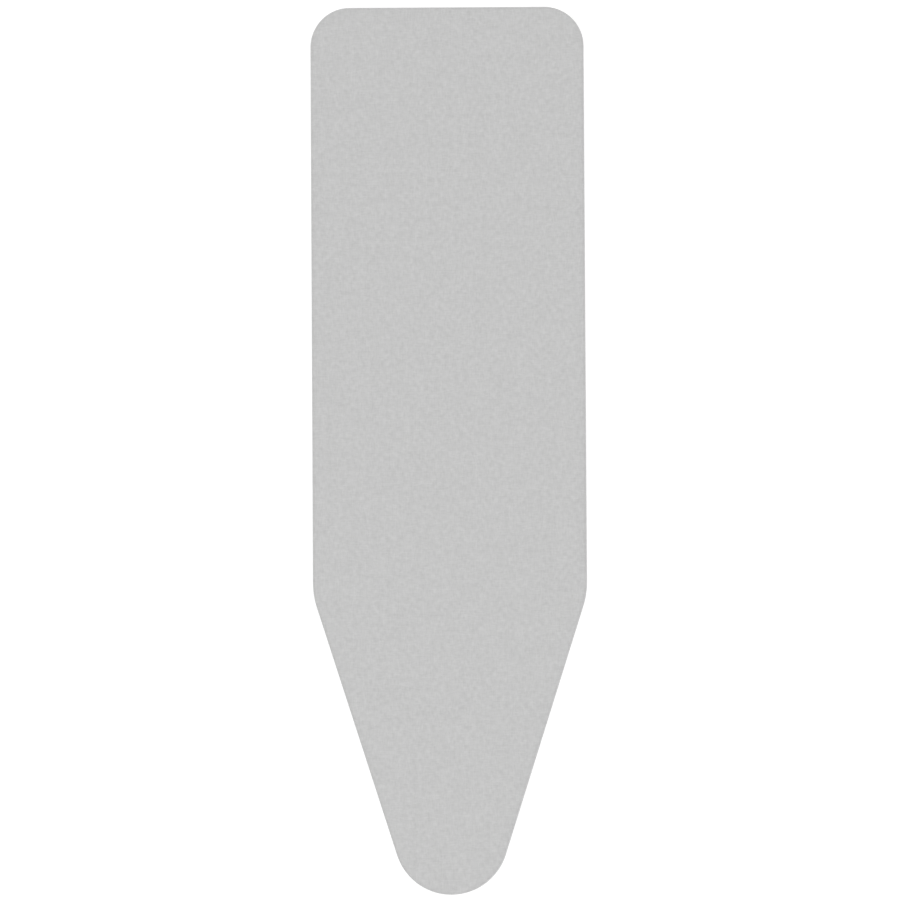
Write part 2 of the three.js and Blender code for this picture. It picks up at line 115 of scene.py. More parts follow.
def roll(places, normals, inset, top, radius, angles):
    """Rings round a top edge that is rounded to the radius, from the flat top down to the side."""
    return [
        ring(places, normals, inset + radius - radius * math.cos(a), top - radius + radius * math.sin(a))
        for a in angles
    ]


def filled(rim, cell):
    """A flat patch within a rim of points: its points, the rim's first, and its triangles."""
    across, along = [np.arange(low, high, cell) for low, high in zip(rim.min(0), rim.max(0))]
    grid = np.array(np.meshgrid(across, along)).reshape(2, -1).T + cell / 3
    inside = np.zeros(len(grid), bool)
    near = np.full(len(grid), np.inf)
    for a, b in zip(rim, np.roll(rim, -1, axis=0)):
        crosses = (a[1] > grid[:, 1]) != (b[1] > grid[:, 1])
        if crosses.any():
            where = a[0] + (grid[:, 1] - a[1]) / (b[1] - a[1] + 1e-12) * (b[0] - a[0])
            inside ^= crosses & (grid[:, 0] < where)
        near = np.minimum(near, ((grid - a) ** 2).sum(1))
    grid = grid[inside & (near > (cell / 2) ** 2)]
    points = np.vstack([rim, grid])
    border = [(i, (i + 1) % len(rim)) for i in range(len(rim))]
    faces = delaunay_2d_cdt([Vector(p) for p in points], border, [list(range(len(rim)))], 1, 1e-7)[2]
    return points, [tuple(face) for face in faces]


def patch_faces(faces, rim, rim_first, inner_first):
    """A patch's faces in a mesh that holds its rim and its inner points from those places on."""
    return [tuple(i + rim_first if i < rim else i - rim + inner_first for i in f) for f in faces]


def ring_faces(rings, points):
    """Quads between rings that follow one another in a mesh, each with that many points."""
    firsts = range(0, (rings - 1) * points, points)
    sides = [(first + i, first + (i + 1) % points) for first in firsts for i in range(points)]
    return [(a, a + points, b + points, b) for a, b in sides]


def scene_object(name, data):
    made = bpy.data.objects.new(name, data)
    scene.collection.objects.link(made)
    return made


def mesh_object(name, points, faces, edges=()):
    mesh = bpy.data.meshes.new(name)
    mesh.from_pydata([tuple(p) for p in points], edges, faces)
    mesh.polygons.foreach_set("use_smooth", [True] * len(mesh.polygons))
    mesh.update()
    return scene_object(name, mesh)


def ripple(places, pitch, seed, waves=9):
    """A smooth uneven field, mostly between -1 and 1, about the pitch from top to top."""
    chance = np.random.default_rng(seed)
    field = np.zeros(len(places))
    for _ in range(waves):
        angle, phase = chance.uniform(0, math.tau, 2)
        length = pitch * chance.uniform(0.7, 1.5)
        field += np.sin(places @ direction(angle) * math.tau / length + phase)
    return field / waves**0.5 / 1.5


class Wire:
    """A node's socket. An expression on it adds the Math nodes that work it out."""

    def __init__(self, nodes, socket):
        self.nodes, self.socket = nodes, socket

    def maths(self, operation, *values):
        return self.nodes.node("ShaderNodeMath", dict(enumerate(values)), operation=operation)

    def __add__(self, other):
        return self.maths("ADD", self, other)

    def __sub__(self, other):
        return self.maths("SUBTRACT", self, other)

    def __rsub__(self, other):
        return self.maths("SUBTRACT", other, self)

    def __mul__(self, other):
        return self.maths("MULTIPLY", self, other)

    __radd__ = __add__

    def sine(self):
        return self.maths("SINE", self)

    def size(self):
        return self.maths("ABSOLUTE", self)

    def between(self, low, high):
        """0 below low, 1 above high and a smooth rise between."""
        sockets = {0: self, 1: low, 2: high}
        return self.nodes.node("ShaderNodeMapRange", sockets, interpolation_type="SMOOTHSTEP")

    def beside(self):
        """All the outputs of this socket's node."""
        return [Wire(self.nodes, socket) for socket in self.socket.node.outputs]


class Nodes:
    """A node tree. node() adds one node to it and gives back one of its outputs."""

    def __init__(self, tree):
        self.tree = tree

    def node(self, kind, inputs=None, output=0, **settings):
        made = self.tree.nodes.new(kind)
        for name, value in settings.items():
            setattr(made, name, value)
        for name, value in (inputs or {}).items():
            self.join(made.inputs[name], value)
        return Wire(self, made.outputs[output]) if made.outputs else None

    def join(self, socket, value):
        if isinstance(value, Wire):
            self.tree.links.new(value.socket, socket)
        else:
            socket.default_value = value

    def seen(self):
        """1 for the camera's rays and those of mirrors and glass, 0 for scattered light."""
        kinds = ("Camera", "Glossy", "Transmission")
        rays = [self.node("ShaderNodeLightPath", output=f"Is {kind} Ray") for kind in kinds]
        return rays[0] + rays[1] + rays[2]


class Finish(Nodes):
    """A material whose surface is a Principled BSDF."""

    def __init__(self, name, roughness, metallic=0.0):
        self.material = bpy.data.materials.new(name)
        self.material.use_nodes = True
        super().__init__(self.material.node_tree)
        self.surface = self.tree.nodes["Principled BSDF"]
        self.set("Roughness", roughness)
        self.set("Metallic", metallic)

    def set(self, name, value):
        self.join(self.surface.inputs[name], value)

    def place(self):
        return self.node("ShaderNodeTexCoord", output="Object")

    def uv(self):
        return self.node("ShaderNodeUVMap", uv_map="cloth")

    def parts(self, vector):
        return self.node("ShaderNodeSeparateXYZ", {0: vector}).beside()

    def stretched(self, vector, scale):
        return self.node("ShaderNodeMapping", {"Vector": vector, "Scale": scale})

    def noise(self, vector, scale, detail=2.0, rough=0.5):
        sockets = {"Vector": vector, "Scale": scale, "Detail": detail, "Roughness": rough}
        return self.node("ShaderNodeTexNoise", sockets)

    def tones(self, share, dark, light):
        """Colours from dark at 0 to light at 1."""
        sockets = {0: share, 6: (*dark, 1), 7: (*light, 1)}
        self.set("Base Color", self.node("ShaderNodeMix", sockets, 2, data_type="RGBA"))

    def shades(self, share, tone, dark, light):
        """Shades of one tone, from the dark amount of it at 0 to the light amount at 1."""
        self.tones(share, *(tuple(amount * c for c in tone) for amount in (dark, light)))

    def relief(self, height, depth, strength=1.0):
        """The height, from 0 to 1, as a bump that is that deep in metres."""
        sockets = {"Height": height, "Distance": depth, "Strength": strength}
        self.set("Normal", self.node("ShaderNodeBump", sockets))


def foam_finish():
    """Pale open-cell foam: cells about a millimetre across, in two sizes, a little yellowed."""
    made = Finish("open_cell_foam", 0.95)
    place = made.place()
    cells = made.node("ShaderNodeTexVoronoi", {"Vector": place, "Scale": 1900.0})
    pores = made.node("ShaderNodeTexVoronoi", {"Vector": place, "Scale": 4400.0})
    tint = made.noise(place, 22.0)
    # Painted shade: the cells' pits are darker in colour, as well as sunk by the bump.
    depth = cells.between(0.0, 0.55) * 0.7 + pores.between(0.0, 0.5) * 0.3
    made.tones(depth * 0.7 + tint * 0.3, (0.60, 0.575, 0.51), (0.82, 0.80, 0.74))
    made.relief(depth, 0.00022)
    return made.material


foam_places, foam_normals = outline(0, EDGE_RADII, FOAM_COUNTS)
foam_rings = roll(foam_places, foam_normals, FOAM_INSET, FOAM_TOP, FOAM_ROUNDING, FOAM_ANGLES)
foam_rings.append(ring(foam_places, foam_normals, FOAM_INSET + FOAM_TUCK, FOAM_UNDERSIDE))
foam_top, top_faces = filled(foam_rings[0][:, :2], FOAM_CELL)
foam_base, base_faces = filled(foam_rings[-1][:, :2], FOAM_CELL)
count = len(foam_places)
inner_top = lifted(foam_top[count:], FOAM_TOP)
base_lift = FOAM_UNEVEN * (1 + ripple(foam_base[count:], FOAM_WAVE, 3))
inner_base = lifted(foam_base[count:], FOAM_UNDERSIDE + base_lift)
inner_first = len(foam_rings) * count
foam_faces = ring_faces(len(foam_rings), count) + patch_faces(top_faces, count, 0, inner_first)
base_faces = patch_faces(base_faces, count, inner_first - count, inner_first + len(inner_top))
foam_faces += [face[::-1] for face in base_faces]
foam = mesh_object("foam_layer", np.vstack([*foam_rings, inner_top, inner_base]), foam_faces)
foam.data.materials.append(foam_finish())
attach(foam, "root")
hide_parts("foam_pad")


# Cover cloth. One piece of metallised cotton: the taut ironing face, the edge over the board's rim
# and the flap under it, which the drawcord gathers into folds, deep at the heel's corners and nose.
CLOTH_COUNTS = {"heel": 76, "shoulder": 12, "nose": 128, "heel_run": 58, "side": 310, "taper": 176}
CLOTH = 0.00035
COVER_TOP = 0.033
TOP_ROUNDING = 0.0046
TOP_ANGLES = np.radians([90, 74, 58, 43, 28, 14, 0])
SIDE_LEVELS = (0.0245, 0.0205, 0.0165, 0.0142)
SIDE_BULGE = 0.00025
BULGE_FROM, BULGE_BLEND = 0.026, 0.012
RIM_ROUNDING = 0.003
RIM_ANGLES = np.radians([0, -22, -45, -67, -90])
FLAP_LEVEL = 0.009
HEM_LEVEL = 0.005
HEM_INSET = 0.045
HEM_RADII = {"heel": 0.036, "shoulder": 0.065, "nose": 0.035}
LIP_REACH = 0.007
CLOTH_REACH = 0.003
INSIDE_REACHES = (0.0036, 0.0050, 0.0063)
FLAP_SHARES = (0.07, 0.15, 0.24, 0.33, 0.42, 0.51, 0.6, 0.69, 0.78, 0.86, 0.93, 1.0)
TOP_CELL = 0.012
FOLD_PITCH = {"corner": 0.0068, "straight": 0.019}
FOLD_DEPTH = {"corner": 0.0037, "straight": 0.0017}
WIDE_FOLDS = 2.1
CREASE = 0.18
SAG = 0.0007
CORNER_TURN, CORNER_BLEND = 18, 0.012
LIP_WAVE = 0.0010
LIP_SLOPE = 0.75
LIP_FADE = 0.0024
LIP_FROM, LIP_BLEND = 0.72, 0.28
CLIP_PLACES = (0.3317, -0.1017)
CLIP_HALF_WIDTH = 0.016
CLIP_CLEAR = 0.022
HEEL_FLAT, HEEL_BLEND = 0.012, 0.02


def hem_line(reach):
    """The hem's line, moved that far out towards the edge."""
    radii = {corner: radius + reach for corner, radius in HEM_RADII.items()}
    return outline(HEM_INSET - reach, radii, CLOTH_COUNTS)[0]


def ease(share):
    """0 to 1 as the share goes from 0 to 1, with a slow start and end."""
    share = np.clip(share, 0, 1)
    return share * share * (3 - 2 * share)


def run_along(line):
    """How far along the line each of its points lies."""
    return np.array([0, *np.cumsum(np.linalg.norm(np.diff(line, axis=0), axis=1))])


def give_uv(made, coordinates):
    """A map in metres, from one pair of coordinates for each point of the mesh."""
    layer = made.data.uv_layers.new(name="cloth")
    corner_points = np.zeros(len(made.data.loops), np.int32)
    made.data.loops.foreach_get("vertex_index", corner_points)
    layer.data.foreach_set("uv", np.asarray(coordinates, np.float32)[corner_points].ravel())


edge_places, edge_normals = outline(0, EDGE_RADII, CLOTH_COUNTS)
edge_tangents = np.column_stack([-edge_normals[:, 1], edge_normals[:, 0]])
hem_places = hem_line(0)
lip_places = hem_line(LIP_REACH)
station = run_along(hem_places)
hem_length = station[-1] + np.linalg.norm(hem_places[0] - hem_places[-1])

# How full the folds are at each point: 1 round a heel corner or the nose, less on the straights,
# and none at the clips or between the casing's two ends
turning = np.abs(np.unwrap(np.arctan2(edge_normals[:, 1], edge_normals[:, 0])))
turn_rate = np.abs(np.gradient(turning, station))
smoother = np.exp(-0.5 * ((station[:, None] - station[None, :]) / CORNER_BLEND) ** 2)
corner_share = smoother @ np.where(turn_rate > CORNER_TURN, 1.0, 0.0) / smoother.sum(1)
corner_share = ease(corner_share * 1.3)
clip_away = np.abs(hem_places[:, 1:] - CLIP_PLACES).min(1)
clip_share = 1 - ease((clip_away - CLIP_HALF_WIDTH) / CLIP_CLEAR)
heel_gap = np.minimum(station, hem_length - station)
free_share = (1 - clip_share) * ease((heel_gap - HEEL_FLAT) / HEEL_BLEND)


def uneven(seed, step, low, high):
    """A value for each point of the hem, which wanders between low and high from step to step."""
    knots = np.arange(0, hem_length + 0.02, step)
    return np.interp(station, knots, np.random.default_rng(seed).uniform(low, high, len(knots)))


def by_corner(sizes):
    """The straight's size on the straights and the corner's in the corners."""
    return sizes["straight"] + (sizes["corner"] - sizes["straight"]) * corner_share


def fold_phase(scale, seed):
    """A phase that grows by one turn for each fold, the folds uneven in width, and its rate."""
    rate = uneven(seed, 0.011, 0.72, 1.3) / (by_corner(FOLD_PITCH) * scale)
    steps = np.diff(station) * (rate[1:] + rate[:-1]) / 2
    return math.tau * np.array([0, *np.cumsum(steps)]), math.tau * rate


close_phase, close_rate = fold_phase(1.0, 11)
wide_phase, wide_rate = fold_phase(WIDE_FOLDS, 12)
close_size, wide_size = [uneven(seed, 0.017, 0.45, 1.0) for seed in (13, 14)]
lip_wave = np.minimum(LIP_WAVE, LIP_SLOPE / close_rate)
depth_here = by_corner(FOLD_DEPTH)


def folds(close, wide, crease=0.0):
    """Rise and sideways shift of the folds, round below and creased above, but never doubled over."""
    a = close * close_size * free_share
    b = wide * wide_size * free_share
    rise = a * (np.cos(close_phase) + crease * np.cos(2 * close_phase)) + b * np.cos(wide_phase)
    lean_close = np.minimum(0.75 * a, 0.52 / close_rate)
    lean_wide = np.minimum(0.45 * b, 0.18 / wide_rate)
    return rise, -lean_close * np.sin(close_phase) - lean_wide * np.sin(wide_phase)


def lip_folds(reach):
    """The folds within the tape's lips, which die out at the casing."""
    return folds(lip_wave * ease((reach - LIP_FADE) / (LIP_REACH - LIP_FADE)), 0.0)


def flap_row(share):
    """The flap's outer face, from the rim's lower edge at 0 to the tape's lips at 1."""
    start = edge_places - edge_normals * RIM_ROUNDING
    places = start + (lip_places - start) * share
    level = HEM_LEVEL - CLOTH / 2 + (FLAP_LEVEL - HEM_LEVEL + CLOTH / 2) * (1 - share) ** 2
    sag = SAG * math.sin(math.pi * share) * corner_share
    lip_fade = ease((share - LIP_FROM) / LIP_BLEND)
    close_fade = ease((share - 0.1) / 0.5) * (1 - lip_fade)
    wide_fade = ease(share / 0.35) * (1 - ease((share - 0.6) / 0.4))
    lip_rise, lip_shift = folds(lip_wave * lip_fade, 0.0)
    rise, shift = folds(depth_here * 0.8 * close_fade, depth_here * 0.42 * wide_fade, CREASE)
    places = places + edge_tangents * (shift + lip_shift)[:, None]
    return lifted(places, np.minimum(level - sag + rise + lip_rise, FLAP_LEVEL - 0.0001))


def hem_row(reach):
    rise, shift = lip_folds(reach)
    return lifted(hem_line(reach) + edge_tangents * shift[:, None], HEM_LEVEL - CLOTH / 2 + rise)


def cotton_finish():
    """Metallised cotton: a plain weave of uneven yarn, dyed grey and coated with a silvery film.

    The colour is a little paler on the rounded top edge: a painted highlight, where the lamps leave that
    edge darker.
    """
    made = Finish("silver_cotton", 0.56, 0.18)
    cloth = made.uv()
    across, along, _ = made.parts(cloth)
    mottle = made.noise(cloth, 146.0)
    broad = made.noise(cloth, 34.0)
    warp = made.noise(made.stretched(cloth, (520.0, 110.0, 1.0)), 1.0, 1.0)
    weft = made.noise(made.stretched(cloth, (110.0, 520.0, 1.0)), 1.0, 1.0)
    yarn = math.tau / 0.0009
    weave = (across * yarn).sine() * (along * yarn).sine()
    height = made.parts(made.place())[2]
    # Painted highlight: a band round the rounded top edge is given a lighter colour to offset the shade
    # the lamps leave there.
    highlight_above_side = height.between(COVER_TOP - 1.5 * TOP_ROUNDING, COVER_TOP - TOP_ROUNDING)
    painted_rim_highlight = highlight_above_side * (1 - height.between(COVER_TOP - 0.65 * TOP_ROUNDING, COVER_TOP))
    share = mottle * 1.4 + broad * 0.4 + warp + weft + weave * 0.06 + painted_rim_highlight * 0.4 - 1.4
    made.tones(share, (0.483, 0.483, 0.482), (0.574, 0.574, 0.573))
    made.set("Roughness", 0.50 + mottle * 0.12)
    made.relief(weave * 0.35 + warp * 0.35 + weft * 0.35, 0.00012, 0.6)
    return made.material


rim_wave = SIDE_BULGE * (folds(0.0, 1.0)[0] + 1) / 2 * (0.25 + 0.75 * corner_share)
cloth_rows = roll(edge_places, edge_normals, 0, COVER_TOP, TOP_ROUNDING, TOP_ANGLES)
for height in SIDE_LEVELS:
    bulge = rim_wave * ease((BULGE_FROM - height) / BULGE_BLEND)
    cloth_rows.append(ring(edge_places, edge_normals, -bulge, height))
for angle in RIM_ANGLES:
    bulge = rim_wave * math.cos(angle)
    inset = RIM_ROUNDING * (1 - math.cos(angle)) - bulge
    height = FLAP_LEVEL + RIM_ROUNDING * (1 + math.sin(angle))
    cloth_rows.append(ring(edge_places, edge_normals, inset, height))
cloth_rows += [flap_row(share) for share in FLAP_SHARES]
cloth_rows += [hem_row(reach) for reach in (*reversed(INSIDE_REACHES), CLOTH_REACH)]

count = len(edge_places)
top_flat, top_faces = filled(cloth_rows[0][:, :2], TOP_CELL)
inner = top_flat[count:]
cloth_faces = ring_faces(len(cloth_rows), count)
cloth_faces += patch_faces(top_faces, count, 0, len(cloth_rows) * count)
cover = mesh_object("cotton_cover", np.vstack([*cloth_rows, lifted(inner, COVER_TOP)]), cloth_faces)

# The flat cut: each row lies as far outside the top's edge as the cloth is long down to it
steps = [np.median(np.linalg.norm(b - a, axis=1)) for a, b in zip(cloth_rows, cloth_rows[1:])]
row_reach = [0, *np.cumsum(steps)]
flat_rows = [cloth_rows[0][:, :2] + edge_normals * reach for reach in row_reach]
give_uv(cover, np.vstack([*flat_rows, inner]))

cover.data.materials.append(cotton_finish())
thickness = cover.modifiers.new("cloth thickness", "SOLIDIFY")
thickness.thickness = CLOTH
thickness.offset = -1
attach(cover, "root")
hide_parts("cover_cloth")


# Hem binding. A woven bias tape, folded over the flap's raw edge and stitched through both lips. Its
# fold is the casing that the drawcord runs in, and it puckers where the cord draws the hem in.
CASING = 0.003
TAPE = 0.0006
LIP_OUTSIDE = 0.00115
LIP_INSIDE = 0.0003
LIP_END = 0.0069
LIP_REACHES = (0.0064, 0.0056, 0.0049, 0.0042, 0.0035)
CASING_STARTS_AT = 7
PUCKER = 0.00032


def tape_section():
    """The folded tape's outline as reach and height, from the upper lip's outside round to it."""
    middle, half = (LIP_OUTSIDE + LIP_INSIDE) / 2, (LIP_OUTSIDE - LIP_INSIDE) / 2
    outer = math.asin(LIP_OUTSIDE / CASING)
    inner = math.asin(LIP_INSIDE / (CASING - TAPE))
    arc = round_points(0, CASING, np.linspace(outer, math.tau - outer, 17))
    bore = round_points(0, CASING - TAPE, np.linspace(math.tau - inner, inner, 9))
    lip = [np.array([reach, LIP_OUTSIDE]) for reach in LIP_REACHES]
    tip = round_points((LIP_END - half, middle), half, np.radians([-60, 0, 60]))
    inside = [np.array([reach, LIP_INSIDE]) for reach in INSIDE_REACHES]
    lower = [p * np.array([1, -1]) for p in (inside + tip + lip)[::-1]]
    return np.array(lip + arc + lower + bore + inside + tip)


def tube(name, rings):
    """A closed tube through rings of as many points each, with a flat face at either end."""
    sides, last = rings.shape[1], (len(rings) - 1) * rings.shape[1]
    faces = ring_faces(len(rings), sides)
    faces += [tuple(range(sides)), tuple(last + i for i in reversed(range(sides)))]
    return mesh_object(name, rings.reshape(-1, 3), faces)


def tape_finish():
    """Grey cotton tape: a close plain weave that runs on the bias."""
    made = Finish("bias_tape", 0.85)
    across, along, _ = made.parts(made.uv())
    yarn = math.tau / 0.0007
    weave = ((across + along) * yarn).sine() * ((across - along) * yarn).sine()
    mottle = made.noise(made.uv(), 300.0, 3.0)
    made.tones(mottle * 0.8 + weave * 0.2, (0.32, 0.32, 0.325), (0.50, 0.50, 0.505))
    made.relief(weave * 0.5 + mottle * 0.5, 0.00015)
    return made.material


tape_outline = tape_section()
tape_points = np.arange(CASING_STARTS_AT, count - CASING_STARTS_AT + 1)
crumple = (0.35 + 0.65 * corner_share) * free_share
tape_rows = []
for reach, height in tape_outline:
    rise, slide = lip_folds(max(reach, 0))
    turn = math.atan2(height, reach)
    in_casing = 1 - ease((reach - 0.0018) / 0.0016)
    pinch = PUCKER * in_casing * crumple * (1 - np.cos(2 * close_phase + 2.5 * math.sin(turn))) / 2
    share = 1 - pinch / CASING
    places = hem_places + edge_normals * (reach * share)[:, None] + edge_tangents * slide[:, None]
    tape_rows.append(lifted(places, HEM_LEVEL + height * share + rise)[tape_points])
binding = tube("edge_binding", np.array(tape_rows).transpose(1, 0, 2))
give_uv(binding, [(a, s) for s in station[tape_points] for a in run_along(tape_outline)])
binding.data.materials.append(tape_finish())
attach(binding, "root")
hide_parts("hem_binding")


# Binding seam. One row of lockstitches through the tape's two lips and the cloth between them, in
# polyester thread, and the same stitch closes the tension straps' loops.
STITCH_PITCH = 0.0030
STITCH_LENGTH = 0.0025
THREAD = 0.00025
SEAM_REACH = 0.0052
OVERLOCK_PITCH = 0.0010
OVERLOCK_WIDTH = 0.0026
OVERLOCK_HALF_RUN = 0.0125
OVERLOCK_THREAD = 0.00018


def thread_finish(name, tone):
    """Twisted polyester thread: a slight sheen, and the ply's turns across it."""
    made = Finish(name, 0.45)
    twist = {"Vector": made.place(), "Scale": 900.0, "Distortion": 1.5}
    ply = made.node("ShaderNodeTexWave", twist)
    made.shades(ply, tone, 0.8, 1.0)
    made.relief(ply, 0.00005)
    return made.material


def stitch_tree():
    """Geometry nodes that lay one stitch after another along a line of points."""
    group = bpy.data.node_groups.new("row of stitches", "GeometryNodeTree")
    group.is_modifier = True
    kinds = {"Line": "Geometry", "Pitch": "Float", "Length": "Float", "Thread radius": "Float"}
    for name, kind in (kinds | {"Seed": "Int", "Thread": "Material"}).items():
        group.interface.new_socket(name, in_out="INPUT", socket_type="NodeSocket" + kind)
    group.interface.new_socket("Stitches", in_out="OUTPUT", socket_type="NodeSocketGeometry")

    tree = Nodes(group)
    line, pitch, length, radius, seed, thread, _ = tree.node("NodeGroupInput").beside()
    curve = tree.node("GeometryNodeMeshToCurve", {0: line})
    steps = {"Curve": curve, "Length": pitch}
    points = tree.node("GeometryNodeCurveToPoints", steps, mode="LENGTH")
    turn = points.beside()[3]
    size = tree.node("ShaderNodeCombineXYZ", {0: radius, 1: radius, 2: length * 0.5})
    bead = tree.node("GeometryNodeMeshUVSphere", {"Segments": 6, "Rings": 5, "Radius": 1.0})
    laid = {"Points": points, "Instance": bead, "Rotation": turn, "Scale": size}
    row = tree.node("GeometryNodeInstanceOnPoints", laid)
    bounds = {2: 0.9, 3: 1.08, "Seed": seed}
    spread = tree.node("FunctionNodeRandomValue", bounds, 1, data_type="FLOAT")
    row = tree.node("GeometryNodeScaleInstances", {"Instances": row, "Scale": spread})
    for kind in ("RealizeInstances", "SetShadeSmooth"):
        row = tree.node("GeometryNode" + kind, {0: row})
    row = tree.node("GeometryNodeSetMaterial", {"Geometry": row, "Material": thread})
    tree.node("NodeGroupOutput", {0: row})
    return group


def mesh_of(made, name):
    """The object's mesh as its modifiers leave it, in a new object of that name."""
    made.name = "unfinished"
    graph = bpy.context.evaluated_depsgraph_get()
    result = scene_object(name, bpy.data.meshes.new_from_object(made.evaluated_get(graph)))
    bpy.data.objects.remove(made)
    return result


def sewn(name, lines, thread, pitch=STITCH_PITCH, length=STITCH_LENGTH, radius=THREAD, seed=5):
    """Stitches along each of the lines, as one piece."""
    edges, first = [], 0
    for line in lines:
        edges += [(first + i, first + i + 1) for i in range(len(line) - 1)]
        first += len(line)
    path = mesh_object(name, np.vstack(lines), [], edges)
    row = path.modifiers.new("row of stitches", "NODES")
    row.node_group = stitches
    given = {"Pitch": pitch, "Length": length, "Thread radius": radius, "Seed": seed, "Thread": thread}
    for item in stitches.interface.items_tree:
        if item.name in given:
            row[item.identifier] = given[item.name]
    path.update_tag()
    made = mesh_of(path, name)
    made.data.materials.pop(index=0)
    return made


stitches = stitch_tree()
grey_thread = thread_finish("grey_thread", (0.60, 0.60, 0.61))
seam_rise, seam_slide = lip_folds(SEAM_REACH)
seam_places = hem_places + edge_normals * SEAM_REACH + edge_tangents * seam_slide[:, None]
seam_lines = [
    lifted(seam_places, HEM_LEVEL + lift + seam_rise)[tape_points[1:-1]]
    for lift in (-LIP_OUTSIDE - THREAD * 0.45, LIP_OUTSIDE + THREAD * 0.45)
]
seam = sewn("binding_seam", seam_lines, grey_thread)
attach(seam, "root")

# Between the casing's two ends the cloth's bare edge is overlocked
steps = np.arange(round(4 * OVERLOCK_HALF_RUN / OVERLOCK_PITCH) + 1)
overlock_x = OVERLOCK_HALF_RUN - OVERLOCK_PITCH / 2 * steps
overlock_y = hem_places[0, 1] + CLOTH_REACH + THREAD
overlock_y = overlock_y + OVERLOCK_WIDTH / 2 * (1 + np.sin(math.pi / 2 * steps))
overlock_places = np.column_stack([overlock_x, overlock_y])
overlock_lift = CLOTH / 2 + 1.1 * OVERLOCK_THREAD
overlock_lines = [lifted(overlock_places, HEM_LEVEL + side * overlock_lift) for side in (-1, 1)]
leg = math.hypot(OVERLOCK_PITCH, OVERLOCK_WIDTH)
overlock = sewn("hem_overlock", overlock_lines, grey_thread, leg, 1.02 * leg, OVERLOCK_THREAD, 3)
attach(overlock, "root")


# Drawcord. One length of 3 mm braided polyester cord through the whole casing. Its two ends come out
# at the heel, bend towards each other and run side by side through the cord lock into the stopper.
CORD = 0.0015
CORD_PULL = 0.00035
CORD_APART = 0.0026
CORD_BEND = 0.0104
CASING_END = 0.013
CORD_LINE_Y = HALF_LENGTH - HEM_INSET - CORD_PULL
CORD_END_Y = 0.51295
CORD_SIDES = 24
BRAID_STEP = 0.00036
BRAID_PITCH = 0.0031
BRAID_RELIEF = 0.00013


def swept(line, aside, beyond):
    """Rings along a line in a plane, each point so far aside of it and so far out of the plane."""
    ahead = np.gradient(line, axis=0)
    ahead /= np.linalg.norm(ahead, axis=1)[:, None]
    across = np.column_stack([ahead[:, 1], -ahead[:, 0]])
    flat = line[:, None] + across[:, None] * aside[..., None]
    return np.dstack([flat, np.broadcast_to(beyond, flat.shape[:2])])


def cord_finish():
    """Braided polyester: strands of fine yarn, half of them one way round and half the other."""
    made = Finish("braided_cord", 0.62)
    around, along, _ = made.parts(made.uv())
    one = ((along * 2 + around * 1.9) * (math.tau / BRAID_PITCH)).sine()
    other = ((along * 2 - around * 1.9) * (math.tau / BRAID_PITCH)).sine()
    braid = one.size() * 0.5 + other.size() * 0.5
    # Painted shade: the colour is darker in the grooves between the strands, as well as sunk by the bump.
    made.tones(braid, (0.40, 0.40, 0.395), (0.74, 0.74, 0.73))
    made.relief(braid, 0.0002)
    return made.material


def bend(side, turns):
    return round_points((side * CASING_END, CORD_LINE_Y - CORD_BEND), CORD_BEND, turns)


bend_steps = round(CORD_BEND * math.pi / 2 / BRAID_STEP)
run_steps = round((CORD_LINE_Y - CORD_BEND - CORD_END_Y) / BRAID_STEP)
run_places = np.linspace(CORD_END_Y, CORD_LINE_Y - CORD_BEND, run_steps, endpoint=False)
near_run = [np.array([-CORD_APART, y]) for y in run_places]
pulled_in = (hem_places - edge_normals * CORD_PULL)[tape_points]
in_casing = [p for p in pulled_in if abs(p[0]) > CASING_END + 0.002 or p[1] < 0]
cord_route = np.array(
    near_run
    + bend(-1, np.linspace(0, math.pi / 2, bend_steps))
    + in_casing
    + bend(1, np.linspace(math.pi / 2, math.pi, bend_steps))
    + [p * np.array([-1, 1]) for p in near_run[::-1]]
)
cord_length = run_along(cord_route)
round_cord = np.linspace(0, math.tau, CORD_SIDES, endpoint=False)
phase = math.tau * cord_length[:, None] / BRAID_PITCH
braid = np.cos(3 * round_cord + phase) * np.cos(3 * round_cord - phase)
cord_radius = CORD - BRAID_RELIEF * (1 - braid) / 2
cord_heights = HEM_LEVEL + cord_radius * np.sin(round_cord)
drawcord = tube("draw_cord", swept(cord_route, cord_radius * np.cos(round_cord), cord_heights))
give_uv(drawcord, [(CORD * a, s) for s in cord_length for a in round_cord])
drawcord.data.materials.append(cord_finish())
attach(drawcord, "root")
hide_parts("drawcord")


# Cord lock. A moulded barrel that slides along the two cords, and a button with the same slot in it.
# The spring behind the button pushes the two slots out of line and so pinches the cords.
LOCK_Y = 0.56095
LOCK_RADIUS = 0.0047
LOCK_BORE = 0.0037
LOCK_BACK, LOCK_FRONT, BORE_BACK = -0.0150, 0.0079, -0.0134
SLOT_X, SLOT_HEIGHT = 0.0044, 0.0018
SLOT_CORNER, SLOT_LENGTH = 0.0014, 0.02
BACK_ROUNDING = 0.0009
GROOVES = (-0.0122, -0.0106, -0.0090, -0.0074)
GROOVE_SHAPE = ((-0.0004, 0), (-0.0002, -0.0003), (0.0002, -0.0003), (0.0004, 0))
BARREL_LIP = ((-0.0018, 0), (-0.0015, -0.0003), (-0.0004, -0.0003), (-0.0001, -0.0004), (0, -0.0006))
BORE_EDGE = ((-0.0001, 0.0001), (-0.0004, 0))
HEAD_RADIUS, HEAD_FRONT = 0.0043, 0.0142
DOME_DEPTH, DOME_WIDTH = 0.0007, 0.0009
BUTTON_STEM = (
    (-0.0064, 0), (-0.0064, 0.0031), (-0.0061, 0.0034), (0.0118, 0.0034), (0.0122, 0.0038),
    (0.0123, 0.0040), (0.0126, 0.0043),
)
BUTTON_DIMPLE = (
    (0.0142, 0.0028), (0.0139, 0.0026), (0.0139, 0.0020), (0.0142, 0.0018), (0.0143, 0.0009), (0.0143, 0),
)
PRESS = 0.004
LOCK_GREY = (0.17, 0.175, 0.18)
ROUND_STEPS = 56


